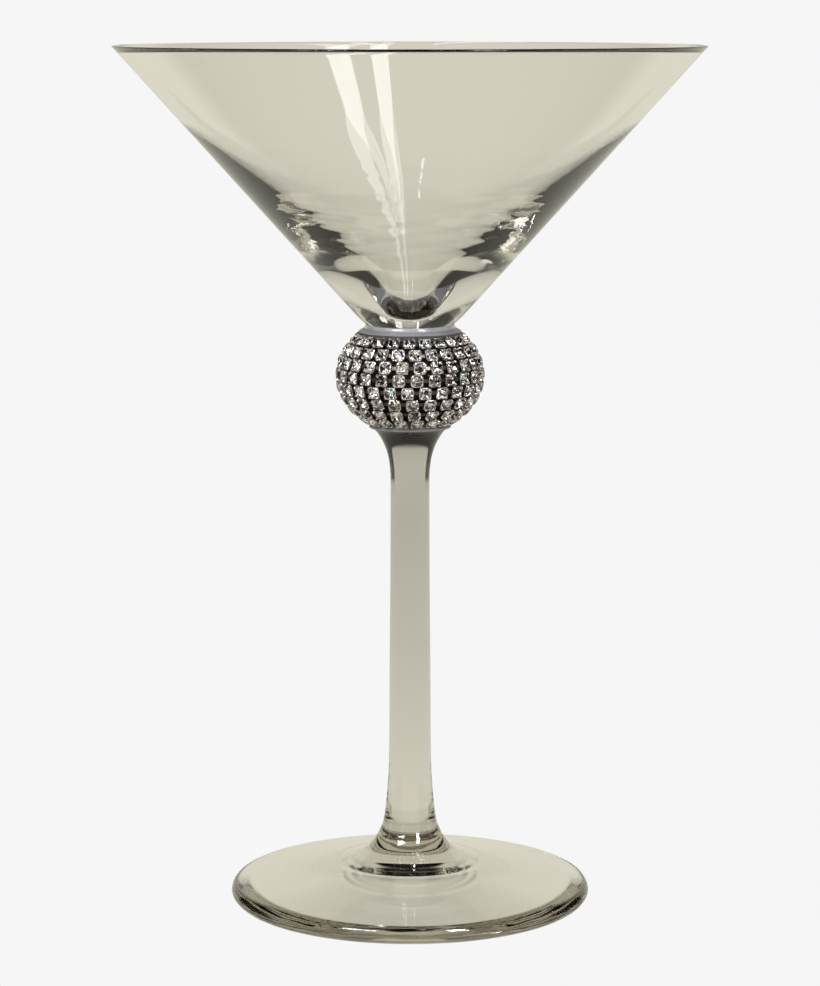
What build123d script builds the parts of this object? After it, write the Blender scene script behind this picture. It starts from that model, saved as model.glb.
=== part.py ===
"""Stemmed cocktail glass with a conical bowl and a crystal-set ball between the bowl and the stem.

Millimetres, +Z up, origin at the centre of the foot's resting plane. Every glass piece is turned about Z,
so its outline is a list of (radius, height) points. The ball is an oblate spheroid: a place on it is given
by the ellipse parameter t in degrees, 0 at the widest circle and positive above it, and by an azimuth in
degrees, 0 at the front (-Y) and positive towards +X.
"""
from build123d import *
from math import cos, hypot, pi, radians, sin, tan
import os

# Overall
HEIGHT = 185.0
FOOT_R = 39.1

# Bowl
CONE_ANGLE = 42.0                 # outer wall, from the vertical
CONE_START = (12.6, 129.1)        # where the straight outer wall begins
RIM_WALL = 1.0
LIP_EDGE = (62.75, 184.7)         # where the fire-polished lip stands out furthest
LIP_START_Z = 184.2
LIP_CREST_R = 62.3
BOWL_SEAT = (8.5, 125.2)          # where the rounded base dips into the upper trim ring
BOWL_WELD = (8.0, 124.2)          # edge of the flat underside that is cemented to the knop
INNER_FLOOR_Z = 130.4
BEND_Z = (170.0, 142.0)           # the inside bends here, and is a wider cone below
LOWER_CONE_ANGLE = 51.3           # inside wall under the bend, from the vertical
TIP_R = 7.3                       # rounding at the bottom of the inside

# Ball, measured over the crystals' tables
BALL_Z = 115.0
BALL_R = 16.0
BALL_HALF_H = 13.0
BACKING_DEPTH = 1.68              # from the crystals' tables down to the backing
BACKING_WALL = 0.4
CEMENT_WALL = 0.15
BACKING_T = (-55.0, 45.5)
KNOP_T = (-62.0, 54.5)

# Trim rings
RING_TOP_Z = 125.05
RING_TOP_T = 46.2                 # lower edge of the upper ring on the ball's surface
RING_TOP_OUTER_R = 9.95
RING_TOP_BORE_R = 8.62
RING_FOOT_T = -56.4               # upper edge of the lower ring on the ball's surface
RING_FOOT_OUTER_R = 8.72

# Cement between bowl and ball
PAD_R = 3.9
PAD_H = 0.3
PAD_CLEARANCE = 0.02
BEAD_OUTER_R = 9.75
BEAD_TOP = (9.42, 125.90)         # where the cement bead meets the bowl's rounded base
BEAD_INNER = (8.72, 125.28)

# Crystal rows, from the top row down
ROW_COUNTS = (22, 24, 25, 25, 25, 23, 20, 18)
ROW_TURNS = (-0.8, 4.5, -6.3, -8.8, -1.9, 2.1, 4.5, 9.0)
TOP_ROW_T = 40.3
ROW_STEP_T = 12.9

# One crystal: octagonal, with heights from its girdle plane
CRYSTAL_SIDES = 8
GIRDLE_R = 1.2
GIRDLE_HALF_H = 0.05
TABLE_R = 0.72
TABLE_H = 0.55
CULET_R = 0.22
CULET_H = -0.85

# One square cup setting, with heights from its crystal's girdle plane
CUP_RIM_HALF = 1.31
CUP_CORNER = 0.26                 # cut off each corner of the square
CUP_RIM_H = -0.10
CUP_BORE_R = 1.25
CUP_BASE_HALF = 1.12
CUP_BASE_H = -1.08
CUP_FLOOR_R = 0.42
CUP_FLOOR_H = -0.93
CLAWS = 4
CLAW_WIDTH = 0.40
LINK_H = -0.55
LINK_WIDTH = 0.72                 # along the ball, across the link's length
LINK_THICKNESS = 0.22
LINK_GROOVE = (0.24, 0.10)        # width and depth of the groove along the middle
LINK_GAP = 0.10

# Stem
STEM_TOP = (8.2, 103.7)
STEM_NECK = (4.2, 91.5)
STEM_FOOT = (6.6, 14.8)

# Foot
FOOT_SHOULDER = (15.4, 8.4)
FOOT_TOP_EDGE = (37.8, 3.8)
FOOT_WIDEST_Z = 1.8
FOOT_REST = (34.0, 37.2)          # inner and outer radius of the ring that stands on the table
HOLLOW_SHOULDER = (14.0, 3.0)     # the cone under the foot ends here, in a rounded cap
HOLLOW_TOP_Z = 4.0


def turned(*edges):
    """A solid turned about Z from a closed outline in (radius, height)."""
    return revolve(Plane.XZ * make_face(Curve() + list(edges)), Axis.Z)


def turned_polygon(*points):
    """A solid turned about Z from straight lines between (radius, height) points."""
    return turned(*Polyline(*points, close=True).edges())


def ellipse_point(t, depth=0.0):
    """(radius, height) on the ball's ellipse, drawn smaller by depth."""
    angle = radians(t)
    return (BALL_R - depth) * cos(angle), BALL_Z + (BALL_HALF_H - depth) * sin(angle)


def ellipse_arc(depth, t_low, t_high):
    """The stretch of that smaller ellipse from t_low up to t_high."""
    radii = (BALL_R - depth, BALL_HALF_H - depth)
    return EllipticalCenterArc((0, BALL_Z), *radii, t_low, arc_size=t_high - t_low)


def cone_point(height):
    """(radius, height) on the bowl's outer wall."""
    return CONE_START[0] + (height - CONE_START[1]) * tan(radians(CONE_ANGLE)), height


# Glass

def bowl_inside():
    """Inside of the bowl, from the lip down to its floor."""
    lean, low_lean = radians(CONE_ANGLE), radians(LOWER_CONE_ANGLE)
    lip = (cone_point(LIP_START_Z)[0] - RIM_WALL / cos(lean), LIP_START_Z)
    bend_top = (lip[0] - (LIP_START_Z - BEND_Z[0]) * tan(lean), BEND_Z[0])
    tip_centre_z = INNER_FLOOR_Z + TIP_R
    tip = (TIP_R * cos(low_lean), tip_centre_z - TIP_R * sin(low_lean))
    bend_foot = (tip[0] + (BEND_Z[1] - tip[1]) * tan(low_lean), BEND_Z[1])
    down, low_down = (-sin(lean), -cos(lean)), (-sin(low_lean), -cos(low_lean))
    return [
        Spline([(LIP_CREST_R, HEIGHT), lip], tangents=[(-1, 0), down]),
        Line(lip, bend_top),
        Spline([bend_top, bend_foot], tangents=[down, low_down]),
        Line(bend_foot, tip),
        Spline([tip, (0, INNER_FLOOR_Z)], tangents=[low_down, (-1, 0)]),
    ]


def bowl():
    """Blown conical bowl: a thin wall with a rounded lip, thickening into a solid rounded base."""
    lean = radians(CONE_ANGLE)
    up_wall = (sin(lean), cos(lean))
    lip_start = cone_point(LIP_START_Z)
    return turned(
        Line((0, BOWL_WELD[1]), BOWL_WELD),
        Line(BOWL_WELD, BOWL_SEAT),
        Spline([BOWL_SEAT, CONE_START], tangents=[(1, 0.75), up_wall]),
        Line(CONE_START, lip_start),
        Spline([lip_start, LIP_EDGE], tangents=[up_wall, up_wall]),
        Spline([LIP_EDGE, (LIP_CREST_R, HEIGHT)], tangents=[up_wall, (-1, 0)]),
        *bowl_inside(),
        Line((0, INNER_FLOOR_Z), (0, BOWL_WELD[1])),
    )


def knop():
    """Solid glass knop inside the jewelled sleeve, with a shallow recess on top for the cement pad."""
    depth = BACKING_DEPTH + BACKING_WALL + CEMENT_WALL
    low, high = ellipse_point(KNOP_T[0], depth), ellipse_point(KNOP_T[1], depth)
    top_z = BOWL_WELD[1]
    recess_r, recess_z = PAD_R + PAD_CLEARANCE, top_z - PAD_H
    return turned(
        Line((0, low[1]), low),
        ellipse_arc(depth, *KNOP_T),
        Line(high, (high[0], top_z)),
        Line((high[0], top_z), (recess_r, top_z)),
        Line((recess_r, top_z), (recess_r, recess_z)),
        Line((recess_r, recess_z), (0, recess_z)),
        Line((0, recess_z), (0, low[1])),
    )


def joint_pad():
    """Disc of white cement in the knop's recess, against the bowl's underside."""
    top_z = BOWL_WELD[1]
    return turned_polygon((0, top_z - PAD_H), (PAD_R, top_z - PAD_H), (PAD_R, top_z), (0, top_z))


def bowl_bead():
    """Bead of clear cement in the corner between the upper trim ring and the bowl's base."""
    foot_inner, foot_outer = (BEAD_INNER[0], RING_TOP_Z), (BEAD_OUTER_R, RING_TOP_Z)
    swell = ((BEAD_OUTER_R + BEAD_TOP[0]) / 2 + 0.12, (RING_TOP_Z + BEAD_TOP[1]) / 2)
    return turned(
        Line(foot_inner, foot_outer),
        ThreePointArc(foot_outer, swell, BEAD_TOP),
        Line(BEAD_TOP, BEAD_INNER),
        Line(BEAD_INNER, foot_inner),
    )


def stem():
    """Drawn solid stem: a trumpet flare under the ball, a long slow taper, a second flare at the foot."""
    knop_foot = ellipse_point(KNOP_T[0], BACKING_DEPTH + BACKING_WALL + CEMENT_WALL)
    flare = [STEM_TOP, (6.35, 101.5), (4.95, 98.3), STEM_NECK]
    shaft = [STEM_NECK, (4.3, 66.0), (4.5, 40.0), (4.75, 27.0), (5.3, 20.4), STEM_FOOT]
    return turned(
        Line((0, knop_foot[1]), knop_foot),
        Line(knop_foot, (knop_foot[0], STEM_TOP[1])),
        Line((knop_foot[0], STEM_TOP[1]), STEM_TOP),
        Spline(flare, tangents=[(-0.8, -0.6), (0, -1)]),
        Spline(shaft, tangents=[(0, -1), (0.45, -0.89)]),
        Line(STEM_FOOT, (0, STEM_FOOT[1])),
        Line((0, STEM_FOOT[1]), (0, knop_foot[1])),
    )


def foot():
    """Round foot: thick under the stem, a shallow cone out to a rounded edge, hollowed underneath."""
    rest_inner, rest_outer = FOOT_REST
    slope = (FOOT_TOP_EDGE[1] - FOOT_SHOULDER[1]) / (FOOT_TOP_EDGE[0] - FOOT_SHOULDER[0])
    hollow_slope = HOLLOW_SHOULDER[1] / (rest_inner - HOLLOW_SHOULDER[0])
    return turned(
        Line((0, STEM_FOOT[1]), STEM_FOOT),
        Spline([STEM_FOOT, (8.4, 11.9), (11.4, 9.8), FOOT_SHOULDER], tangents=[(0.45, -0.89), (1, slope)]),
        Line(FOOT_SHOULDER, FOOT_TOP_EDGE),
        Spline([FOOT_TOP_EDGE, (FOOT_R, FOOT_WIDEST_Z)], tangents=[(1, slope), (0, -1)]),
        Spline([(FOOT_R, FOOT_WIDEST_Z), (rest_outer, 0)], tangents=[(0, -1), (-1, 0)]),
        Line((rest_outer, 0), (rest_inner, 0)),
        Line((rest_inner, 0), HOLLOW_SHOULDER),
        Spline([HOLLOW_SHOULDER, (0, HOLLOW_TOP_Z)], tangents=[(-1, hollow_slope), (-1, 0)]),
        Line((0, HOLLOW_TOP_Z), (0, STEM_FOOT[1])),
    )


# Sleeve on the knop

def shell(depth, wall):
    """Thin layer that follows the ball, from depth in to depth + wall."""
    t_low, t_high = BACKING_T
    outer, inner = depth, depth + wall
    return turned(
        ellipse_arc(outer, t_low, t_high),
        Line(ellipse_point(t_high, outer), ellipse_point(t_high, inner)),
        ellipse_arc(inner, t_low, t_high),
        Line(ellipse_point(t_low, inner), ellipse_point(t_low, outer)),
    )


def upper_trim_ring():
    """Smooth collar round the bowl's base, level with the crystals' tables."""
    inner = BACKING_DEPTH + BACKING_WALL
    start, middle = ellipse_point(RING_TOP_T), ellipse_point(RING_TOP_T + 1.7)
    crown = (RING_TOP_OUTER_R, RING_TOP_Z)
    hidden = Polyline(
        crown,
        (RING_TOP_BORE_R, RING_TOP_Z),
        (BOWL_WELD[0] + 0.15, BOWL_WELD[1]),
        ellipse_point(KNOP_T[1] - 1, inner),
        ellipse_point(RING_TOP_T + 4, inner),
        ellipse_point(RING_TOP_T, inner),
        start,
    )
    return turned(ThreePointArc(start, middle, crown), *hidden.edges())


def lower_trim_ring():
    """Narrow collar that closes the sleeve above the stem's flare."""
    inner = BACKING_DEPTH + BACKING_WALL
    knop_foot_r = ellipse_point(KNOP_T[0], inner + CEMENT_WALL)[0]
    return turned_polygon(
        ellipse_point(RING_FOOT_T),
        (RING_FOOT_OUTER_R, STEM_TOP[1]),
        (knop_foot_r + 0.1, STEM_TOP[1]),
        (knop_foot_r + 0.1, ellipse_point(KNOP_T[0], inner)[1]),
        ellipse_point(RING_FOOT_T, inner),
    )


# Crystals and settings

def faceted(rings):
    """Solid with flat faces between level rings of corners, closed by a cap at each end."""
    faces = [make_face(Polyline(*ring, close=True)) for ring in (rings[0], rings[-1])]
    for low, high in zip(rings, rings[1:]):
        for i in range(len(low)):
            after = (i + 1) % len(low)
            faces.append(make_face(Polyline(low[i], low[after], high[after], high[i], close=True)))
    return Solid(Shell(faces))


def octagon(radius, height):
    """Corners of a level regular octagon."""
    turns = [2 * pi * i / CRYSTAL_SIDES for i in range(CRYSTAL_SIDES)]
    return [(radius * cos(a), radius * sin(a), height) for a in turns]


def crystal():
    """One faceted octagonal crystal, its girdle plane at height 0 and its table up."""
    return faceted([
        octagon(CULET_R, CULET_H),
        octagon(GIRDLE_R, -GIRDLE_HALF_H),
        octagon(GIRDLE_R, GIRDLE_HALF_H),
        octagon(TABLE_R, TABLE_H),
    ])


def cut_square(half, height):
    """Corners of a level square whose own corners are cut off."""
    inset = half - CUP_CORNER
    right = [(half, -inset, height), (half, inset, height), (inset, half, height), (-inset, half, height)]
    return right + [(-x, -y, z) for x, y, z in right]


def cup():
    """One square tapered metal cup with a claw at each corner, folded over the crystal's crown."""
    body = faceted([cut_square(CUP_BASE_HALF, CUP_BASE_H), cut_square(CUP_RIM_HALF, CUP_RIM_H)])
    bore_floor, bore_rim = (CUP_FLOOR_R, CUP_FLOOR_H), (CUP_BORE_R, CUP_RIM_H)
    body -= turned_polygon((0, CUP_FLOOR_H), bore_floor, bore_rim, (0, CUP_RIM_H))
    claw_outline = Polyline(
        (1.42, CUP_RIM_H - 0.1),
        (1.60, CUP_RIM_H - 0.1),
        (1.60, 0.28),
        (1.02, 0.48),
        (1.02, 0.33),
        (1.42, 0.12),
        close=True,
    )
    claw = extrude(Plane.XZ * make_face(claw_outline), CLAW_WIDTH / 2, both=True)
    turn = 360 / CLAWS
    for i in range(CLAWS):
        body += Rot(0, 0, turn * (i + 0.5)) * claw
    return body


def seat_plane(t, azimuth, depth):
    """Plane at depth under the ball's surface: x runs round the ball, z points outwards."""
    c, s = cos(radians(t)), sin(radians(t))
    length = hypot(c / BALL_R, s / BALL_HALF_H)
    out_r, out_z = c / BALL_R / length, s / BALL_HALF_H / length
    r = BALL_R * c - depth * out_r
    z = BALL_Z + BALL_HALF_H * s - depth * out_z
    a = radians(azimuth)
    ahead = (sin(a), -cos(a))
    return Plane(
        origin=(r * ahead[0], r * ahead[1], z),
        x_dir=(cos(a), sin(a), 0),
        z_dir=(out_r * ahead[0], out_r * ahead[1], out_z),
    )


def row_azimuths(row):
    """Azimuth of each crystal in a row."""
    step = 360 / ROW_COUNTS[row]
    return [ROW_TURNS[row] + step * i for i in range(ROW_COUNTS[row])]


def row_t(row):
    return TOP_ROW_T - ROW_STEP_T * row


def row_copies(shape, row):
    """Copies of one shape at every seat of a row."""
    return Compound([
        seat_plane(row_t(row), azimuth, TABLE_H).location * shape
        for azimuth in row_azimuths(row)
    ])


def link(length):
    """Flat metal bar with a groove along its middle, lying along x with its outer face up."""
    half, top = LINK_WIDTH / 2, LINK_THICKNESS / 2
    groove_half, floor = LINK_GROOVE[0] / 2, top - LINK_GROOVE[1]
    outline = Polyline(
        (-half, -top),
        (half, -top),
        (half, top),
        (groove_half, top),
        (groove_half, floor),
        (-groove_half, floor),
        (-groove_half, top),
        (-half, top),
        close=True,
    )
    return extrude(Plane.YZ * make_face(outline), length / 2, both=True)


def row_links(row):
    """Bars that join each cup to the next one in its row."""
    t, step = row_t(row), 360 / ROW_COUNTS[row]
    share = (LINK_H - CUP_BASE_H) / (CUP_RIM_H - CUP_BASE_H)
    cup_half = CUP_BASE_HALF + (CUP_RIM_HALF - CUP_BASE_HALF) * share
    radius = seat_plane(t, 90, TABLE_H - LINK_H).origin.X
    length = 2 * radius * sin(radians(step / 2)) - 2 * (cup_half + LINK_GAP)
    bar = link(length)
    sagitta = radius * (1 - cos(radians(step / 2)))
    bars = []
    for azimuth in row_azimuths(row):
        middle = seat_plane(t, azimuth + step / 2, TABLE_H - LINK_H)
        inward = Vector(-middle.origin.X, -middle.origin.Y, 0).normalized() * sagitta
        place = Plane(middle.origin + inward, x_dir=middle.x_dir, z_dir=middle.z_dir)
        bars.append(place.location * bar)
    return Compound(bars)


def main():
    os.makedirs("parts", exist_ok=True)
    nodes = {
        "bowl": bowl(),
        "knop": knop(),
        "stem": stem(),
        "foot": foot(),
        "joint_pad": joint_pad(),
        "bowl_bead": bowl_bead(),
        "sleeve_backing": shell(BACKING_DEPTH, BACKING_WALL),
        "sleeve_cement": shell(BACKING_DEPTH + BACKING_WALL, CEMENT_WALL),
        "upper_trim_ring": upper_trim_ring(),
        "lower_trim_ring": lower_trim_ring(),
    }
    one_crystal, one_cup = crystal(), cup()
    for row in range(len(ROW_COUNTS)):
        number = row + 1
        nodes[f"crystal_row_{number}"] = row_copies(one_crystal, row)
        nodes[f"setting_row_{number}"] = row_copies(one_cup, row)
        nodes[f"link_row_{number}"] = row_links(row)
    for name, shape in nodes.items():
        export_step(shape, f"parts/{name}.step")


main()
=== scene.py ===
"""Martini glass with a crystal-set ball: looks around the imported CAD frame.

Outlines are in millimetres as (radius, height) and are turned about Z. A place on the ball is given by the
ellipse parameter t in degrees, 0 at the widest circle, and an azimuth in degrees, 0 at -Y towards +X.
"""
import bpy
import numpy as np
from math import cos, hypot, pi, radians, sin, tan
from mathutils import Matrix, Vector


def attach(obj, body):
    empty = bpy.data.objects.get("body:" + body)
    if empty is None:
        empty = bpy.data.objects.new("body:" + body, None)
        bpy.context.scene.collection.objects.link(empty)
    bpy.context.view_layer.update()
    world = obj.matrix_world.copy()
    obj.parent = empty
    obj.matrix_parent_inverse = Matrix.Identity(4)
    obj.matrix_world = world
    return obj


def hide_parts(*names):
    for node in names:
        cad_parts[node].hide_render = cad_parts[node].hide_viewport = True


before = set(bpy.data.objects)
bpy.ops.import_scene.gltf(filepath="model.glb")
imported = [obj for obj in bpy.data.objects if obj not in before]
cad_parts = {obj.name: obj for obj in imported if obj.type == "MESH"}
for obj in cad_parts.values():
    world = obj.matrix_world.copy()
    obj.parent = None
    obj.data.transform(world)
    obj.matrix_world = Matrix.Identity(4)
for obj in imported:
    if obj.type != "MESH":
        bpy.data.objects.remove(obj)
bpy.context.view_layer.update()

MM = 0.001

# ---------------------------------------------------------------- dimensions that the CAD part has too

HEIGHT = 185.0
FOOT_R = 39.1
CONE_ANGLE = 42.0
CONE_START = (12.6, 129.1)
RIM_WALL = 1.0
LIP_EDGE = (62.75, 184.7)
LIP_START_Z = 184.2
LIP_CREST_R = 62.3
BOWL_SEAT = (8.5, 125.2)
BOWL_BASE_DIR = (1, 0.75)      # the way the outline leaves the seat
BOWL_WELD = (8.0, 124.2)
INNER_FLOOR_Z = 130.4
LOWER_CONE_ANGLE = 51.3
BEND_Z = (170.0, 142.0)
TIP_R = 7.3

BALL_Z = 115.0
BALL_R = 16.0
BALL_HALF_H = 13.0
KNOP_DEPTH = 2.23
KNOP_T = (-62.0, 54.5)
RING_TOP_Z = 125.05
PAD_R = 3.9
PAD_H = 0.3
PAD_CLEARANCE = 0.02
BEAD_OUTER_R = 9.75
BEAD_TOP = (9.42, 125.90)
BEAD_INNER = (8.72, 125.28)

ROW_COUNTS = (22, 24, 25, 25, 25, 23, 20, 18)
ROW_TURNS = (-0.8, 4.5, -6.3, -8.8, -1.9, 2.1, 4.5, 9.0)
TOP_ROW_T = 40.3
ROW_STEP_T = 12.9

GIRDLE_R = 1.2
GIRDLE_HALF_H = 0.05
TABLE_H = 0.55
CULET_H = -0.85

CUP_RIM_HALF = 1.31
CUP_RIM_H = -0.10
CUP_BORE_R = 1.25
CUP_BASE_HALF = 1.12
CUP_BASE_H = -1.08
CUP_FLOOR_R = 0.42
CUP_FLOOR_H = -0.93
CLAWS = 4

STEM_TOP = (8.2, 103.7)
STEM_TOP_DIR = (0.8, 0.6)
STEM_FLARE = ((4.95, 98.3), (6.35, 101.5))
STEM_NECK = (4.2, 91.5)
STEM_SHAFT = ((5.3, 20.4), (4.75, 27.0), (4.5, 40.0), (4.3, 66.0))
STEM_FOOT = (6.6, 14.8)
STEM_FOOT_DIR = (-0.45, 0.89)
FOOT_FILLET = ((11.4, 9.8), (8.4, 11.9))
FOOT_SHOULDER = (15.4, 8.4)
FOOT_TOP_EDGE = (37.8, 3.8)
FOOT_WIDEST_Z = 1.8
FOOT_REST = (34.0, 37.2)
HOLLOW_SHOULDER = (14.0, 3.0)
HOLLOW_TOP_Z = 4.0

# ---------------------------------------------------------------- dimensions of these meshes alone

TURN_STEPS = 288
ON_AXIS = 1e-6                 # a smaller radius is a point on the axis
KNOP_STEPS = 60
SHARP_ANGLE = 35.0
WELD_GAP = 0.01                # between two glass pieces that are one to the light

WAVES = (                      # share, and what each millimetre up, radian round and lag adds to the phase
    (0.6, 1.5, 4, 1),
    (0.3, 2.7, -9, 2),
    (0.1, 5.1, 16, 0),
)
WAVY_Z = 149.0                 # middle and half height of the wavy band inside the bowl
WAVY_HALF_H = 8.0
BOWL_WAVE = 0.035
BOWL_LAG = 0.7
EDGE_WAVE = 0.04
EDGE_LAG = 1.9
EDGE_REACH = 0.6               # how far in from the foot's top edge the ripple starts
EDGE_BOTTOM_Z = 0.3            # the ripple keeps off the resting ring
FILLET_WAVE = 0.06
FILLET_PITCH = 2.1
FILLET_DRIFT = 0.4
FILLET_REACH = (0.3, 0.8)      # tool marks start outside the stem and end outside the shoulder by this much

PAD_INSET = (0.1, 0.06)        # the pad's edge stays inside its radius, at the bottom and at the top
PAD_CORE_R = 2.0               # the pad is round inside this radius
PAD_EDGE_DIRS = ((1, 0.4), (-1, 0.3))
PAD_UNEVEN = ((0.03, 3, 1.0), (0.015, 7, 0.0))    # share of the radius, lobes and lag
BEAD_DIRS = ((0.2, 1), (-0.8, 1))

FACETS = 8                     # of the stone's table; the girdle has twice as many
TABLE_R = 0.70                 # a little smaller than in the CAD part, and so is the culet
CULET_R = 0.16
CROWN_R = 0.5 * (TABLE_R + GIRDLE_R) + 0.02
CROWN_H = 0.5 * TABLE_H + 0.06
PAVILION_R = 0.62
PAVILION_H = CULET_H * 0.52
STONE_SEED = 7
STONE_TILT = 1.6               # usual lean of a stone in its cup, in degrees

CUP_CORNER = 0.40              # rounded, where the CAD part's corner is cut straight
CUP_LOOPS = (                  # half width, corner radius and height, up the outside
    (CUP_BASE_HALF - 0.06, 0.30, CUP_BASE_H),
    (CUP_BASE_HALF, 0.33, CUP_BASE_H + 0.06),
    (CUP_RIM_HALF, CUP_CORNER, CUP_RIM_H - 0.05),
    (CUP_RIM_HALF - 0.04, CUP_CORNER - 0.03, CUP_RIM_H),
)
CORNER_POINTS = 4
CLAW_SIDES = 8
CLAW = (                       # distance from the cup's axis, height, half width and half thickness
    (1.52, -0.40, 0.20, 0.10),
    (1.54, -0.08, 0.22, 0.12),
    (1.51, 0.14, 0.22, 0.13),
    (1.38, 0.30, 0.21, 0.12),
    (1.20, 0.38, 0.19, 0.10),
    (1.04, 0.42, 0.12, 0.06),
)


# ---------------------------------------------------------------- outlines

def line(start, end, steps=1):
    """Points on a straight run, without its last point."""
    start, end = np.array(start, float), np.array(end, float)
    return [tuple(start + (end - start) * i / steps) for i in range(steps)]


def clamped_spline(points, start_dir, end_dir, steps):
    """Cubic spline through the points with given end directions, without its last point."""
    p = np.array(points, float)
    h = np.hypot(*(p[1:] - p[:-1]).T)
    count = len(p)
    a = np.zeros((count, count))
    b = np.zeros((count, 2))
    a[0, 0] = a[-1, -1] = 1.0
    b[0] = np.array(start_dir, float) / hypot(*start_dir)
    b[-1] = np.array(end_dir, float) / hypot(*end_dir)
    for i in range(1, count - 1):
        a[i, i - 1] = h[i]
        a[i, i] = 2 * (h[i - 1] + h[i])
        a[i, i + 1] = h[i - 1]
        b[i] = 3 * (h[i] * (p[i] - p[i - 1]) / h[i - 1] + h[i - 1] * (p[i + 1] - p[i]) / h[i])
    slopes = np.linalg.solve(a, b)
    out = []
    for i in range(count - 1):
        for k in range(steps):
            u = k / steps
            p_share = (2 * u ** 3 - 3 * u ** 2 + 1) * p[i] + (3 * u ** 2 - 2 * u ** 3) * p[i + 1]
            s_share = (u ** 3 - 2 * u ** 2 + u) * slopes[i] + (u ** 3 - u ** 2) * slopes[i + 1]
            out.append(tuple(p_share + h[i] * s_share))
    return out


def ellipse_point(t, depth):
    """Point at depth under the ball's outline."""
    angle = radians(t)
    return (BALL_R - depth) * cos(angle), BALL_Z + (BALL_HALF_H - depth) * sin(angle)


def cone_point(height):
    """Point of the bowl's straight outer wall."""
    return CONE_START[0] + (height - CONE_START[1]) * tan(radians(CONE_ANGLE)), height


# ---------------------------------------------------------------- mesh helpers

def new_object(name, verts, faces, materials, face_materials=None, smooth=True):
    """Mesh object from millimetres, with sharp edges where the surface turns a corner."""
    mesh = bpy.data.meshes.new(name)
    mesh.from_pydata([tuple(c * MM for c in v) for v in verts], [], faces)
    mesh.validate()
    for material in materials:
        mesh.materials.append(material)
    if face_materials is not None:
        mesh.polygons.foreach_set("material_index", face_materials)
    if smooth:
        mesh.polygons.foreach_set("use_smooth", [True] * len(mesh.polygons))
        mesh.set_sharp_from_angle(angle=radians(SHARP_ANGLE))
    mesh.update()
    obj = bpy.data.objects.new(name, mesh)
    bpy.context.scene.collection.objects.link(obj)
    return obj


def lathe(name, outline, materials, second=(), shape=None):
    """Solid turned about Z from an outline that runs from axis to axis, outside on the right.

    The bands in second take the second material. shape gives point k of the outline a new radius and height
    at an angle.
    """
    verts, faces, slots = [], [], []
    rings = []
    for k, (r, z) in enumerate(outline):
        if r < ON_AXIS:
            rings.append([len(verts)])
            verts.append((0.0, 0.0, z))
            continue
        rings.append(list(range(len(verts), len(verts) + TURN_STEPS)))
        for j in range(TURN_STEPS):
            a = 2 * pi * j / TURN_STEPS
            new_r, new_z = shape(k, r, z, a) if shape else (r, z)
            verts.append((new_r * cos(a), new_r * sin(a), new_z))
    for k, (low, high) in enumerate(zip(rings, rings[1:])):
        if len(low) == 1 and len(high) == 1:
            continue
        for j in range(TURN_STEPS):
            n = (j + 1) % TURN_STEPS
            if len(low) == 1:
                faces.append((low[0], high[n], high[j]))
            elif len(high) == 1:
                faces.append((low[j], low[n], high[0]))
            else:
                faces.append((low[j], low[n], high[n], high[j]))
            slots.append(int(k in second))
    return new_object(name, verts, faces, materials, slots)


def ring_lathe(name, section, materials):
    """Ring turned about Z from a closed section that stays off the axis, counter-clockwise."""
    verts, faces = [], []
    angles = [2 * pi * j / TURN_STEPS for j in range(TURN_STEPS)]
    for r, z in section:
        verts.extend((r * cos(a), r * sin(a), z) for a in angles)
    for k in range(len(section)):
        low, high = k * TURN_STEPS, (k + 1) % len(section) * TURN_STEPS
        for j in range(TURN_STEPS):
            n = (j + 1) % TURN_STEPS
            faces.append((low + j, low + n, high + n, high + j))
    return new_object(name, verts, faces, materials)


# ---------------------------------------------------------------- materials

GLASS_TINT = (0.985, 0.985, 0.975)
GLASS_ABSORB = (0.50, 0.46, 0.36, 1.0)
GLASS_DENSITY = 12.0
# the foot's glass absorbs twice as much as the rest: painted shade that darkens the foot
FOOT_PAINTED_SHADE_DENSITY = 24.0
GLASS_IOR = 1.5
STEM_PAINTED_SHADE = (                 # height in millimetres, and the share of the glass colour kept there: painted shade that darkens the stem, near black at the flare under the ball
    (15.0, 0.96),
    (30.0, 0.86),
    (58.0, 0.72),
    (84.0, 0.62),
    (97.0, 0.66),
    (100.2, 0.60),
    (101.2, 0.12),
    (103.7, 0.05),
)

CRYSTAL_TINT = (0.97, 0.96, 0.95)
CRYSTAL_IOR = 1.62
FOIL_PATCHES = 2400.0          # patches in a metre
FOIL_AND_PAINTED_FLASH_TONES = (                 # share of the patches where each tone begins; the black, lavender and cyan tones are painted reflections, the stones' dark and coloured flashes
    (0.0, (0.004, 0.004, 0.004)),
    (0.42, (0.99, 0.96, 0.96)),
    (0.80, (0.99, 0.97, 0.98)),
    (0.94, (0.66, 0.60, 0.95)),
    (0.97, (0.62, 0.88, 0.95)),
)

PLATING_COLOR = (0.70, 0.66, 0.66)
LINK_COLOR = (0.10, 0.08, 0.065)
TRIM_COLOR = (0.22, 0.22, 0.235)
METAL_TONE_RANGE = (0.3, 0.7)  # noise values between which a metal goes from its darkest to its lightest
METAL_ROUGH_SHARES = (0.7, 1.4)     # smoothest and roughest, as shares of the usual roughness

BACKING_TONES = ((0.0, (0.001, 0.001, 0.001)), (1.0, (0.008, 0.007, 0.007)))
CEMENT_TONES = ((0.36, (0.05, 0.03, 0.01)), (0.5, (0.85, 0.56, 0.22)), (0.66, (1.0, 0.90, 0.62)))
CEMENT_TILT = 1.3              # how far a patch of the mosaic leans, as a share of its normal
PAD_TONES = ((0.35, (0.84, 0.83, 0.80)), (0.6, (0.97, 0.97, 0.96)))
BEAD_TONES = ((0.0, (0.22, 0.22, 0.24)), (1.0, (0.42, 0.42, 0.47)))


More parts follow.
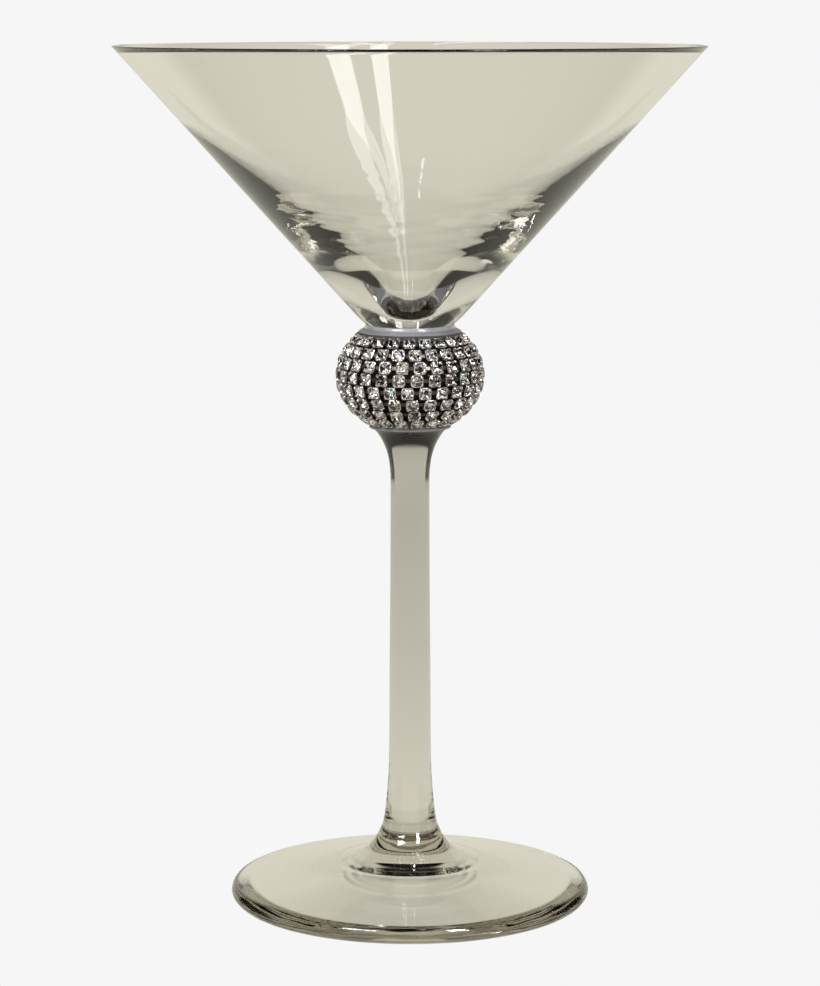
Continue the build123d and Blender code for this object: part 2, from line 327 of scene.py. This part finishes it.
class Look:
    """A material with one Principled shader, and short ways to add to it."""

    def __init__(self, name, settings):
        self.material = bpy.data.materials.new(name)
        self.material.use_nodes = True
        self.material.node_tree.nodes.clear()
        self.output = self.add("ShaderNodeOutputMaterial")
        self.shader = self.add("ShaderNodeBsdfPrincipled", settings)
        self.link(self.shader.outputs["BSDF"], self.output.inputs["Surface"])

    def add(self, kind, settings=None):
        """A new node, with values set on its own sockets."""
        node = self.material.node_tree.nodes.new(kind)
        for socket, value in (settings or {}).items():
            node.inputs[socket].default_value = value
        return node

    def link(self, start, end):
        self.material.node_tree.links.new(start, end)

    def pattern(self, kind, settings):
        """A texture laid out in the object's own coordinates."""
        coords = self.add("ShaderNodeTexCoord")
        texture = self.add(kind, settings)
        self.link(coords.outputs["Object"], texture.inputs["Vector"])
        return texture

    def tones(self, value, stops, interpolation="LINEAR"):
        """Colour the surface by a value, with (position, colour) stops."""
        tone = self.add("ShaderNodeValToRGB")
        ramp = tone.color_ramp
        ramp.interpolation = interpolation
        while len(ramp.elements) < len(stops):
            ramp.elements.new(0.5)
        for element, (position, color) in zip(ramp.elements, stops):
            element.position = position
            element.color = tuple(color) + (1.0,)
        self.link(value, tone.inputs["Fac"])
        self.link(tone.outputs["Color"], self.shader.inputs["Base Color"])


def glass_material(name, bonded=False, tones=None, density=GLASS_DENSITY):
    """Clear glass with a faint warm grey cast; bonded faces touch other glass, so they don't bend light.
    Tones, when given, darken the colour by height: painted shade.
    """
    look = Look(name, {
        "Base Color": GLASS_TINT + (1.0,),
        "Roughness": 0.0,
        "IOR": GLASS_IOR,
        "Transmission Weight": 1.0,
        "Alpha": 0.0 if bonded else 1.0,
    })
    # tones darken the glass colour by height: painted shade, not a change in the glass
    if tones:
        coords = look.add("ShaderNodeTexCoord")
        split = look.add("ShaderNodeSeparateXYZ")
        height = look.add("ShaderNodeMapRange", {"From Max": HEIGHT * MM})
        look.link(coords.outputs["Object"], split.inputs["Vector"])
        look.link(split.outputs["Z"], height.inputs["Value"])
        stops = [(z / HEIGHT, [c * tone for c in GLASS_TINT]) for z, tone in tones]
        look.tones(height.outputs["Result"], stops)
    absorb = look.add("ShaderNodeVolumeAbsorption", {"Color": GLASS_ABSORB, "Density": density})
    look.link(absorb.outputs["Volume"], look.output.inputs["Volume"])
    return look.material


def crystal_material():
    """Clear lead crystal."""
    look = Look("crystal_crown", {
        "Base Color": CRYSTAL_TINT + (1.0,),
        "Roughness": 0.0,
        "IOR": CRYSTAL_IOR,
        "Transmission Weight": 1.0,
    })
    return look.material


def metal_material(name, color, roughness, grains, spread, metallic=1.0):
    """Plated metal whose tone and roughness vary slightly, in so many grains to a metre."""
    look = Look(name, {"Metallic": metallic})
    noise = look.pattern("ShaderNodeTexNoise", {"Scale": grains, "Detail": 4.0})
    darkest = [c * (1 - spread) for c in color]
    lightest = [min(1.0, c * (1 + spread)) for c in color]
    look.tones(noise.outputs["Fac"], list(zip(METAL_TONE_RANGE, (darkest, lightest))))
    smoothest, roughest = (roughness * share for share in METAL_ROUGH_SHARES)
    rough = look.add("ShaderNodeMapRange", {"To Min": smoothest, "To Max": roughest})
    look.link(noise.outputs["Fac"], rough.inputs["Value"])
    look.link(rough.outputs["Result"], look.shader.inputs["Roughness"])
    return look.material


def foil_material():
    """Mirror foil on the backs of the stones, in small bright patches, with painted black, lavender and cyan
    patches for the stones' dark and coloured flashes.
    """
    look = Look("crystal_foil_painted_flashes", {"Metallic": 1.0, "Roughness": 0.04})
    cells = look.pattern("ShaderNodeTexVoronoi", {"Scale": FOIL_PATCHES})
    value = look.add("ShaderNodeSeparateColor")
    look.link(cells.outputs["Color"], value.inputs["Color"])
    look.tones(value.outputs["Red"], FOIL_AND_PAINTED_FLASH_TONES, "CONSTANT")
    return look.material


def backing_material():
    """Nearly black, finely rough fabric."""
    look = Look("mesh_backing", {"Roughness": 0.8, "Specular IOR Level": 0.15})
    noise = look.pattern("ShaderNodeTexNoise", {"Scale": 2500.0})
    look.tones(noise.outputs["Fac"], BACKING_TONES)
    bump = look.add("ShaderNodeBump", {"Strength": 0.4, "Distance": 0.0001})
    look.link(noise.outputs["Fac"], bump.inputs["Height"])
    look.link(bump.outputs["Normal"], look.shader.inputs["Normal"])
    return look.material


def cement_material():
    """Yellowed clear cement over foil backs: a gold and dark brown mosaic whose patches lean all ways."""
    look = Look("cement_over_foil", {"Metallic": 0.5, "Roughness": 0.3})
    cells = look.pattern("ShaderNodeTexVoronoi", {"Scale": 700.0})
    look.tones(cells.outputs["Color"], CEMENT_TONES)
    centred = look.add("ShaderNodeVectorMath", {1: (0.5, 0.5, 0.5)})
    centred.operation = "SUBTRACT"
    leaning = look.add("ShaderNodeVectorMath", {1: (CEMENT_TILT, CEMENT_TILT, CEMENT_TILT)})
    leaning.operation = "MULTIPLY_ADD"
    unit = look.add("ShaderNodeVectorMath")
    unit.operation = "NORMALIZE"
    surface = look.add("ShaderNodeNewGeometry")
    look.link(cells.outputs["Color"], centred.inputs[0])
    look.link(centred.outputs["Vector"], leaning.inputs[0])
    look.link(surface.outputs["Normal"], leaning.inputs[2])
    look.link(leaning.outputs["Vector"], unit.inputs[0])
    look.link(unit.outputs["Vector"], look.shader.inputs["Normal"])
    return look.material


def pad_material():
    """Opaque white cement with a slightly uneven tone."""
    look = Look("white_cement", {"Roughness": 0.4})
    noise = look.pattern("ShaderNodeTexNoise", {"Scale": 900.0})
    look.tones(noise.outputs["Fac"], PAD_TONES)
    return look.material


def bead_material():
    """Clear cement, slightly milky, with a lavender cast from the silvery ring under it."""
    look = Look("clear_cement_bead", {"Roughness": 0.18, "Coat Weight": 0.6})
    noise = look.pattern("ShaderNodeTexNoise", {"Scale": 700.0})
    look.tones(noise.outputs["Fac"], BEAD_TONES)
    return look.material


glass = glass_material("clear_glass")
bonded_glass = glass_material("bonded_glass", bonded=True)
stem_glass_painted_shade = glass_material("stem_glass_painted_shade", tones=STEM_PAINTED_SHADE)
foot_glass_painted_shade = glass_material("foot_glass_painted_shade", density=FOOT_PAINTED_SHADE_DENSITY)
crystal_glass = crystal_material()
foil = foil_material()
plating = metal_material("setting_plating", PLATING_COLOR, roughness=0.20, grains=1200.0, spread=0.35)
link_metal = metal_material("link_metal", LINK_COLOR, roughness=0.30, grains=1200.0, spread=0.25)
trim = metal_material("trim_satin", TRIM_COLOR, roughness=0.45, grains=600.0, spread=0.08, metallic=0.15)
backing = backing_material()
cement = cement_material()
pad_cement = pad_material()
bead_cement = bead_material()


# ---------------------------------------------------------------- glass pieces

def place(piece, node):
    """The piece takes the place of a CAD node."""
    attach(piece, "root")
    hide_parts(node)


def inner_wall():
    """Inside of the bowl, from the lip to the axis."""
    lean, low_lean = radians(CONE_ANGLE), radians(LOWER_CONE_ANGLE)
    start = (cone_point(LIP_START_Z)[0] - RIM_WALL / cos(lean), LIP_START_Z)
    bend_top = (start[0] - (start[1] - BEND_Z[0]) * tan(lean), BEND_Z[0])
    tip = (TIP_R * cos(low_lean), INNER_FLOOR_Z + TIP_R * (1 - sin(low_lean)))
    bend_foot = (tip[0] + (BEND_Z[1] - tip[1]) * tan(low_lean), BEND_Z[1])
    down, low_down = (-sin(lean), -cos(lean)), (-sin(low_lean), -cos(low_lean))
    return (
        clamped_spline([(LIP_CREST_R, HEIGHT), start], (-1, 0), down, steps=12)
        + line(start, bend_top, steps=40)
        + clamped_spline([bend_top, bend_foot], down, low_down, steps=110)
        + line(bend_foot, tip, steps=20)
        + clamped_spline([tip, (0, INNER_FLOOR_Z)], low_down, (-1, 0), steps=16)
        + [(0, INNER_FLOOR_Z)]
    )


def waves(height, angle, lag):
    """Uneven, repeatable waviness between -1 and 1, drawn out along the turning direction."""
    return sum(
        share * sin(up * height + around * angle + lags * lag)
        for share, up, around, lags in WAVES
    )


def make_bowl():
    lean = radians(CONE_ANGLE)
    up_wall = (sin(lean), cos(lean))
    lip_start = cone_point(LIP_START_Z)
    weld = line((0, BOWL_WELD[1]), BOWL_WELD, steps=4)
    outside = (
        weld
        + line(BOWL_WELD, BOWL_SEAT, steps=3)
        + clamped_spline([BOWL_SEAT, CONE_START], BOWL_BASE_DIR, up_wall, steps=16)
        + line(CONE_START, lip_start, steps=60)
        + clamped_spline([lip_start, LIP_EDGE], up_wall, up_wall, steps=6)
        + clamped_spline([LIP_EDGE, (LIP_CREST_R, HEIGHT)], up_wall, (-1, 0), steps=8)
    )
    lowest = BOWL_WELD[1] + WELD_GAP
    outline = [(r, max(z, lowest)) for r, z in outside + inner_wall()]

    def blown(k, r, z, a):
        """The inside is wavy where the wall thickens; it only ever takes glass away."""
        if k < len(outside):
            return r, z
        fade = max(0.0, 1 - ((z - WAVY_Z) / WAVY_HALF_H) ** 2)
        return r + BOWL_WAVE * fade * (1 + waves(z, a, BOWL_LAG)), z

    bowl = lathe("bowl_glass", outline, [glass, bonded_glass], range(len(weld)), blown)
    place(bowl, "bowl")


def make_knop():
    """Glass ball, with cement over its top and in the recess for the pad."""
    first_t, last_t = KNOP_T
    low, high = ellipse_point(first_t, KNOP_DEPTH), ellipse_point(last_t, KNOP_DEPTH)
    side = [
        ellipse_point(first_t + (last_t - first_t) * i / KNOP_STEPS, KNOP_DEPTH)
        for i in range(KNOP_STEPS)
    ]
    top_z, recess_z = BOWL_WELD[1], BOWL_WELD[1] - PAD_H
    recess_r = PAD_R + PAD_CLEARANCE
    shoulder = line((high[0], top_z), (recess_r, top_z), steps=6)
    recess = [(recess_r, top_z), (recess_r, recess_z), (0, recess_z)]
    glass_part = line((0, low[1]), low, steps=3) + side + [high]
    outline = glass_part + shoulder + recess
    cemented = range(len(glass_part), len(outline))
    knop = lathe("knop_glass", outline, [bonded_glass, cement], cemented)
    place(knop, "knop")


def make_stem():
    knop_foot = ellipse_point(KNOP_T[0], KNOP_DEPTH)
    shaft = [STEM_FOOT, *STEM_SHAFT, STEM_NECK]
    flare = [STEM_NECK, *STEM_FLARE, STEM_TOP]
    foot_weld = line((0, STEM_FOOT[1]), STEM_FOOT, steps=3)
    side_up = (
        clamped_spline(shaft, STEM_FOOT_DIR, (0, 1), steps=20)
        + clamped_spline(flare, (0, 1), STEM_TOP_DIR, steps=16)
        + line(STEM_TOP, (knop_foot[0], STEM_TOP[1]), steps=3)
        + line((knop_foot[0], STEM_TOP[1]), knop_foot, steps=2)
    )
    top_weld = line(knop_foot, (0, knop_foot[1]), steps=3) + [(0, knop_foot[1])]
    lowest, highest = STEM_FOOT[1] + WELD_GAP, knop_foot[1] - WELD_GAP
    outline = [(r, max(min(z, highest), lowest)) for r, z in foot_weld + side_up + top_weld]
    top_start = len(foot_weld) + len(side_up)
    bonded = [*range(len(foot_weld)), *range(top_start, len(outline))]
    stem = lathe("stem_glass_painted_shade", outline, [stem_glass_painted_shade, bonded_glass], bonded)
    place(stem, "stem")


def make_foot():
    rest_inner, rest_outer = FOOT_REST
    slope = (FOOT_TOP_EDGE[1] - FOOT_SHOULDER[1]) / (FOOT_TOP_EDGE[0] - FOOT_SHOULDER[0])
    hollow_slope = HOLLOW_SHOULDER[1] / (rest_inner - HOLLOW_SHOULDER[0])
    fillet = [FOOT_SHOULDER, *FOOT_FILLET, STEM_FOOT]
    side = (
        clamped_spline([(0, HOLLOW_TOP_Z), HOLLOW_SHOULDER], (1, 0), (1, -hollow_slope), steps=16)
        + line(HOLLOW_SHOULDER, (rest_inner, 0), steps=20)
        + line((rest_inner, 0), (rest_outer, 0), steps=4)
        + clamped_spline([(rest_outer, 0), (FOOT_R, FOOT_WIDEST_Z)], (1, 0), (0, 1), steps=12)
        + clamped_spline([(FOOT_R, FOOT_WIDEST_Z), FOOT_TOP_EDGE], (0, 1), (-1, -slope), steps=12)
        + line(FOOT_TOP_EDGE, FOOT_SHOULDER, steps=30)
        + clamped_spline(fillet, (-1, -slope), STEM_FOOT_DIR, steps=14)
    )
    outline = side + line(STEM_FOOT, (0, STEM_FOOT[1]), steps=3) + [(0, STEM_FOOT[1])]
    marks_inner, marks_outer = STEM_FOOT[0] + FILLET_REACH[0], FOOT_SHOULDER[0] + FILLET_REACH[1]

    def pressed(_, r, z, a):
        """Tool marks round the fillet and a slightly rippled edge; both only take glass away."""
        if r > FOOT_TOP_EDGE[0] - EDGE_REACH and z > EDGE_BOTTOM_Z:
            return r - EDGE_WAVE * (1 + waves(z, 3 * a, EDGE_LAG)), z
        if marks_inner < r < marks_outer and z > HOLLOW_TOP_Z:
            turn = 2 * pi * r / FILLET_PITCH + FILLET_DRIFT * sin(3 * a)
            return r, z - FILLET_WAVE * (1 + sin(turn))
        return r, z

    bonded = range(len(side), len(outline))
    foot = lathe("foot_glass_painted_shade", outline, [foot_glass_painted_shade, bonded_glass], bonded, pressed)
    place(foot, "foot")


def make_cement():
    """White pad in the knop's recess, and the bead in the corner between ring and bowl."""
    top_z = BOWL_WELD[1] - 2 * WELD_GAP
    floor_z = top_z - PAD_H + WELD_GAP
    low_edge, high_edge = (PAD_R - PAD_INSET[0], floor_z), (PAD_R - PAD_INSET[1], top_z)
    outline = (
        line((0, floor_z), low_edge, steps=3)
        + clamped_spline([low_edge, high_edge], *PAD_EDGE_DIRS, steps=6)
        + line(high_edge, (0, top_z), steps=8) + [(0, top_z)]
    )

    def uneven(_, r, z, a):
        """The pad spread a little unevenly when it was pressed flat."""
        if r <= PAD_CORE_R:
            return r, z
        growth = sum((share * sin(lobes * a + lag) for share, lobes, lag in PAD_UNEVEN), 1)
        return r * growth, z

    pad = lathe("cement_pad", outline, [pad_cement], shape=uneven)
    place(pad, "joint_pad")
    inner_foot, outer_foot = (BEAD_INNER[0], RING_TOP_Z), (BEAD_OUTER_R, RING_TOP_Z)
    section = (
        line(inner_foot, outer_foot, steps=3)
        + clamped_spline([outer_foot, BEAD_TOP], *BEAD_DIRS, steps=8)
        + line(BEAD_TOP, BEAD_INNER, steps=3)
        + line(BEAD_INNER, inner_foot, steps=2)
    )
    bead = ring_lathe("cement_bead", section, [bead_cement])
    place(bead, "bowl_bead")


# ---------------------------------------------------------------- crystals and settings

def crystal_shape():
    """Brilliant-cut stone with a foiled back: verts, faces and one material index per face."""
    verts, faces, slots = [], [], []
    girdle = 2 * FACETS
    half_step = pi / FACETS

    def ring(r, z, count, shift=0.0):
        start = len(verts)
        for i in range(count):
            a = 2 * pi * i / count + shift
            verts.append((r * cos(a), r * sin(a), z))
        return [start + i for i in range(count)]

    def add(new_faces, slot):
        faces.extend(new_faces)
        slots.extend([slot] * len(new_faces))

    table = ring(TABLE_R, TABLE_H, FACETS, half_step)
    mid = ring(CROWN_R, CROWN_H, FACETS)
    top = ring(GIRDLE_R, GIRDLE_HALF_H, girdle)
    low = ring(GIRDLE_R, -GIRDLE_HALF_H, girdle)
    pav = ring(PAVILION_R, PAVILION_H, FACETS)
    culet = ring(CULET_R, CULET_H, FACETS, half_step)
    add([tuple(table)], 0)
    for i in range(FACETS):
        n = (i + 1) % FACETS
        add([
            (table[i - 1], mid[i], table[i]),
            (table[i], mid[i], top[2 * i + 1], mid[n]),
            (mid[i], top[2 * i], top[2 * i + 1]),
            (mid[i], top[2 * i - 1], top[2 * i]),
        ], 0)
    for i in range(girdle):
        n = (i + 1) % girdle
        add([(top[i], low[i], low[n], top[n])], 0)
    for i in range(FACETS):
        n = (i + 1) % FACETS
        add([
            (low[2 * i], pav[i], low[2 * i + 1]),
            (low[2 * i], low[2 * i - 1], pav[i]),
            (low[2 * i + 1], pav[i], culet[i], pav[n]),
            (pav[i], culet[i - 1], culet[i]),
        ], 1)
    add([tuple(reversed(culet))], 1)
    return verts, faces, slots


def rounded_square(half, corner, z):
    """Loop of points round a square with rounded corners, starting after the -45 degree corner."""
    points = []
    for quarter in range(4):
        middle = pi / 4 + quarter * pi / 2
        cx, cy = (half - corner) * 2 ** 0.5 * cos(middle), (half - corner) * 2 ** 0.5 * sin(middle)
        for k in range(CORNER_POINTS):
            a = middle - pi / 4 + (pi / 2) * k / (CORNER_POINTS - 1)
            points.append((cx + corner * cos(a), cy + corner * sin(a), z))
    return points


def bridge(loops):
    """Faces between neighbouring loops of vertex numbers."""
    faces = []
    for low, high in zip(loops, loops[1:]):
        for j in range(len(low)):
            n = (j + 1) % len(low)
            faces.append((low[j], low[n], high[n], high[j]))
    return faces


def cup_shape():
    """Square tapered cup with a round bore and a claw bent over the stone at each corner."""
    verts, faces = [], []

    def add(loops):
        """A closed skin over loops of points."""
        index = []
        for loop in loops:
            index.append(list(range(len(verts), len(verts) + len(loop))))
            verts.extend(loop)
        faces.extend(bridge(index))
        faces.append(tuple(reversed(index[0])))
        faces.append(tuple(index[-1]))

    loops = [rounded_square(*loop) for loop in CUP_LOOPS]
    angles = [np.arctan2(p[1], p[0]) for p in loops[0]]
    for r, z in ((CUP_BORE_R, CUP_RIM_H), (CUP_FLOOR_R, CUP_FLOOR_H)):
        loops.append([(r * cos(a), r * sin(a), z) for a in angles])
    add(loops)
    for claw in range(CLAWS):
        add(claw_loops(pi / 4 + claw * 2 * pi / CLAWS))
    return verts, faces, [0] * len(faces)


def claw_loops(turn):
    """Oval sections up one claw, square to its run."""
    loops = []
    for k, (r, z, width, height) in enumerate(CLAW):
        before, after = CLAW[max(k - 1, 0)], CLAW[min(k + 1, len(CLAW) - 1)]
        along = np.array((after[0] - before[0], after[1] - before[1]))
        along = along / hypot(*along)
        loop = []
        for j in range(CLAW_SIDES):
            a = 2 * pi * j / CLAW_SIDES
            push, across = height * cos(a), width * sin(a)
            out, up = r + along[1] * push, z - along[0] * push
            loop.append((out * cos(turn) - across * sin(turn), out * sin(turn) + across * cos(turn), up))
        loops.append(loop)
    return loops


def seat_matrix(t, azimuth, depth):
    """Frame at depth under the ball's surface: x runs round the ball, z points outwards."""
    c, s = cos(radians(t)), sin(radians(t))
    length = hypot(c / BALL_R, s / BALL_HALF_H)
    out_r, out_z = c / BALL_R / length, s / BALL_HALF_H / length
    r = BALL_R * c - depth * out_r
    z = BALL_Z + BALL_HALF_H * s - depth * out_z
    a = radians(azimuth)
    ahead = Vector((sin(a), -cos(a), 0.0))
    x_axis = Vector((cos(a), sin(a), 0.0))
    z_axis = ahead * out_r + Vector((0.0, 0.0, out_z))
    y_axis = z_axis.cross(x_axis)
    matrix = Matrix((x_axis, y_axis, z_axis)).transposed().to_4x4()
    matrix.translation = ahead * r + Vector((0.0, 0.0, z))
    return matrix


def row_seats(row):
    """Frames of a row's stones, at the tables of the stones."""
    t = TOP_ROW_T - ROW_STEP_T * row
    step = 360 / ROW_COUNTS[row]
    return [seat_matrix(t, ROW_TURNS[row] + step * i, TABLE_H) for i in range(ROW_COUNTS[row])]


def spread(name, shape, places, materials, smooth):
    """One object made of a copy of the shape at every place."""
    verts, faces, slots = [], [], []
    for place_matrix in places:
        start = len(verts)
        verts.extend(tuple(place_matrix @ Vector(v)) for v in shape[0])
        faces.extend(tuple(start + k for k in face) for face in shape[1])
        slots.extend(shape[2])
    return new_object(name, verts, faces, materials, slots, smooth)


def settled(seat, turn, tilts):
    """The seat of a stone that is turned, and leans a little, in its cup."""
    lean = Matrix.Rotation(tilts[0], 4, "X") @ Matrix.Rotation(tilts[1], 4, "Y")
    return seat @ (lean @ Matrix.Rotation(turn, 4, "Z"))


def make_rows():
    stone, cup = crystal_shape(), cup_shape()
    rng = np.random.default_rng(STONE_SEED)
    for row in range(len(ROW_COUNTS)):
        seats = row_seats(row)
        turns = rng.uniform(0, 2 * pi, len(seats))
        tilts = rng.normal(0, radians(STONE_TILT), (len(seats), 2))
        stone_seats = [settled(*one) for one in zip(seats, turns, tilts)]
        number = row + 1
        stones = spread(f"stones_row_{number}", stone, stone_seats, [crystal_glass, foil], False)
        place(stones, f"crystal_row_{number}")
        cups = spread(f"cups_row_{number}", cup, seats, [plating], True)
        place(cups, f"setting_row_{number}")


def dress(node, material):
    """Give a CAD node that stays visible its material."""
    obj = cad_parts[node]
    obj.data.materials.clear()
    obj.data.materials.append(material)


make_bowl()
make_knop()
make_stem()
make_foot()
make_cement()
make_rows()
dress("sleeve_backing", backing)
dress("sleeve_cement", cement)
dress("upper_trim_ring", trim)
dress("lower_trim_ring", trim)
for number in range(1, len(ROW_COUNTS) + 1):
    dress(f"link_row_{number}", link_metal)


# ---------------------------------------------------------------- stage, lights, camera, in metres

BACKDROP = 0.922
FLOOR_HALF = 200.0
FLOOR_Z = -0.00003             # just under the foot
SWEEP = (0.72, 0.70, 0.59)
DARK = 0.004
SKY_EDGE = (0.42, 0.62)        # sines of the elevations where the sweep ends and where all is dark
FLAG_CENTRES = (62.0, 118.0)   # degrees from +Y, on both sides
FLAG_HALF = 22.0
FLAG_SOFT = 3.0                # degrees on each side of a flag's edge
FLAG_FOOT = (-0.16, -0.11)     # sines of the elevations where the flags begin and where they are full

LIGHT_TARGET = (0.0, 0.0, 0.14)
SOFTBOX_DISTANCE = 1.3
STRIP_HEIGHT = 1.2             # above the bowl's middle
BOWL_MIDDLE_Z = 0.15
STRIP_REACH = (-30.0, 15.0)    # degrees at the bowl, from the vertical, to the front and to the back

CAMERA_LENS = 116.5
CAMERA_SENSOR = 36.0
CAMERA_PLACE = (0.0, -0.680, 0.194)
CAMERA_DIP = 8.75              # degrees under the horizontal
CAMERA_CLIP = 0.01

MAX_BOUNCES = 24
GLOSSY_BOUNCES = 12
TRANSPARENT_BOUNCES = 32


def make_floor():
    """Plain pale floor, self-lit. Only the camera sees it; glass and metal see the studio's sweep instead."""
    mesh = bpy.data.meshes.new("floor")
    corners = ((-1, -1), (1, -1), (1, 1), (-1, 1))
    mesh.from_pydata([(x * FLOOR_HALF, y * FLOOR_HALF, FLOOR_Z) for x, y in corners], [], [(0, 1, 2, 3)])
    floor = bpy.data.objects.new("floor", mesh)
    bpy.context.scene.collection.objects.link(floor)
    look = Look("pale_floor", {
        "Base Color": (0.0, 0.0, 0.0, 1.0),
        "Roughness": 1.0,
        "Specular IOR Level": 0.0,
        "Emission Color": (1.0, 1.0, 1.0, 1.0),
        "Emission Strength": BACKDROP,
    })
    path = look.add("ShaderNodeLightPath")
    clear = look.add("ShaderNodeBsdfTransparent")
    mix = look.add("ShaderNodeMixShader")
    look.link(path.outputs["Is Camera Ray"], mix.inputs["Fac"])
    look.link(clear.outputs["BSDF"], mix.inputs[1])
    look.link(look.shader.outputs["BSDF"], mix.inputs[2])
    look.link(mix.outputs["Shader"], look.output.inputs["Surface"])
    mesh.materials.append(look.material)


def make_world():
    """Khaki-grey sweep all round, four tall dark flags, dark ceiling; the camera sees plain pale grey."""
    world = bpy.data.worlds.new("studio")
    bpy.context.scene.world = world
    world.use_nodes = True
    nodes, links = world.node_tree.nodes, world.node_tree.links
    nodes.clear()

    def calc(operation, *values):
        node = nodes.new("ShaderNodeMath")
        node.operation = operation
        for socket, value in zip(node.inputs, values):
            if isinstance(value, (int, float)):
                socket.default_value = value
            else:
                links.new(value, socket)
        return node.outputs["Value"]

    def step(value, low, high):
        """0 below low, 1 above high, smooth between."""
        node = nodes.new("ShaderNodeMapRange")
        node.interpolation_type = "SMOOTHSTEP"
        node.inputs["From Min"].default_value = low
        node.inputs["From Max"].default_value = high
        links.new(value, node.inputs["Value"])
        return node.outputs["Result"]

    output = nodes.new("ShaderNodeOutputWorld")
    coords = nodes.new("ShaderNodeTexCoord")
    split = nodes.new("ShaderNodeSeparateXYZ")
    links.new(coords.outputs["Generated"], split.inputs["Vector"])
    side = calc("ABSOLUTE", split.outputs["X"])
    azimuth = calc("ARCTAN2", side, split.outputs["Y"])
    dark = step(split.outputs["Z"], *SKY_EDGE)
    above_table = step(split.outputs["Z"], *FLAG_FOOT)
    for centre in FLAG_CENTRES:
        off = calc("ABSOLUTE", calc("SUBTRACT", azimuth, radians(centre)))
        outside = step(off, radians(FLAG_HALF - FLAG_SOFT), radians(FLAG_HALF + FLAG_SOFT))
        flag = calc("MULTIPLY", calc("SUBTRACT", 1.0, outside), above_table)
        dark = calc("MAXIMUM", dark, flag)
    mix_color = nodes.new("ShaderNodeMix")
    mix_color.data_type = "RGBA"
    links.new(dark, mix_color.inputs["Factor"])
    mix_color.inputs["A"].default_value = SWEEP + (1.0,)
    mix_color.inputs["B"].default_value = (DARK, DARK, DARK, 1.0)
    lit = nodes.new("ShaderNodeBackground")
    links.new(mix_color.outputs["Result"], lit.inputs["Color"])
    seen = nodes.new("ShaderNodeBackground")
    seen.inputs["Color"].default_value = (BACKDROP, BACKDROP, BACKDROP, 1.0)
    path = nodes.new("ShaderNodeLightPath")
    mix = nodes.new("ShaderNodeMixShader")
    links.new(path.outputs["Is Camera Ray"], mix.inputs["Fac"])
    links.new(lit.outputs["Background"], mix.inputs[1])
    links.new(seen.outputs["Background"], mix.inputs[2])
    links.new(mix.outputs["Shader"], output.inputs["Surface"])


def rectangle_light(name, width, length, radiance):
    """Rectangular soft light of a given radiance, shining straight down."""
    data = bpy.data.lights.new(name, "AREA")
    data.shape = "RECTANGLE"
    data.size = width
    data.size_y = length
    data.energy = radiance * data.size * data.size_y * pi
    light = bpy.data.objects.new(name, data)
    bpy.context.scene.collection.objects.link(light)
    return light


def softbox(name, direction, width, length, radiance):
    """Soft light that stands off in the given direction and faces the bowl."""
    light = rectangle_light(name, width, length, radiance)
    way = Vector(direction).normalized()
    light.location = Vector(LIGHT_TARGET) + way * SOFTBOX_DISTANCE
    light.rotation_euler = (-way).to_track_quat("-Z", "Y").to_euler()


def overhead_strip(name, lean, width, radiance, reach=STRIP_REACH):
    """Long soft light overhead, along Y: lean, width and reach are angles at the bowl, from the vertical."""
    low, high = tan(radians(lean - width / 2)), tan(radians(lean + width / 2))
    front, back = tan(radians(reach[0])), tan(radians(reach[1]))
    light = rectangle_light(name, STRIP_HEIGHT * (high - low), STRIP_HEIGHT * (back - front), radiance)
    light.location = (
        STRIP_HEIGHT * (low + high) / 2,
        STRIP_HEIGHT * (front + back) / 2,
        BOWL_MIDDLE_Z + STRIP_HEIGHT,
    )


def make_camera():
    data = bpy.data.cameras.new("camera")
    data.lens = CAMERA_LENS
    data.sensor_width = CAMERA_SENSOR
    data.clip_start = CAMERA_CLIP
    camera = bpy.data.objects.new("camera", data)
    bpy.context.scene.collection.objects.link(camera)
    camera.location = CAMERA_PLACE
    camera.rotation_euler = (radians(90 - CAMERA_DIP), 0.0, 0.0)
    bpy.context.scene.camera = camera


make_floor()
make_world()
overhead_strip("strip_a", lean=14.9, width=4.6, radiance=4.0)
overhead_strip("strip_b", lean=6.5, width=3.6, radiance=4.0)
overhead_strip("strip_c", lean=-4.5, width=0.9, radiance=7.0, reach=(3.0, 52.0))
softbox("front_left", direction=(-0.75, -1.0, 0.95), width=0.5, length=0.35, radiance=24.0)
softbox("front_right", direction=(0.65, -1.0, 0.75), width=0.25, length=0.5, radiance=30.0)
make_camera()

scene = bpy.context.scene
scene.view_settings.view_transform = "Standard"
scene.cycles.max_bounces = MAX_BOUNCES
scene.cycles.transmission_bounces = MAX_BOUNCES
scene.cycles.glossy_bounces = GLOSSY_BOUNCES
scene.cycles.transparent_max_bounces = TRANSPARENT_BOUNCES
